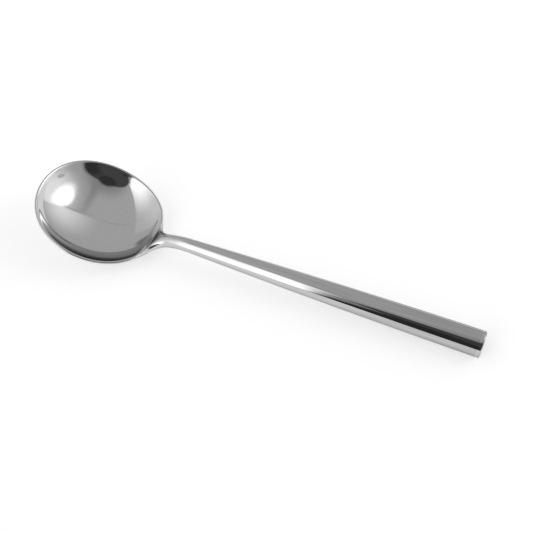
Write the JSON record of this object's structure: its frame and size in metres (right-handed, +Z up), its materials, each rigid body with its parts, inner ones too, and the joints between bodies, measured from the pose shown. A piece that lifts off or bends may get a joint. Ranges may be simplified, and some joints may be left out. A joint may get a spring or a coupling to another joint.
{
  "type": "dessert spoon",
  "caption": "Polished steel spoon with a nearly round bowl, a rising neck and a hollow round handle that widens to a flat capped end.",
  "frame": {"origin": "on the table, under the middle of the spoon's length and width as it lies", "axes": "+X from the bowl's tip to the handle's end, +Y across the bowl, +Z up"},
  "size_m": [0.1774, 0.0456, 0.0193],
  "materials": {
    "polished_steel": "stainless steel, mirror polished",
    "silver_braze": "silver braze, ground flush and polished",
    "resin": "cast resin, unseen inside the handle"
  },
  "bodies": {
    "root": {"bowl_and_neck": "polished_steel", "handle_tube": "polished_steel", "end_cap": "polished_steel", "neck_braze_ring": "silver_braze", "cap_braze_ring": "silver_braze", "handle_filler": "resin"}
  },
  "joints": []
}
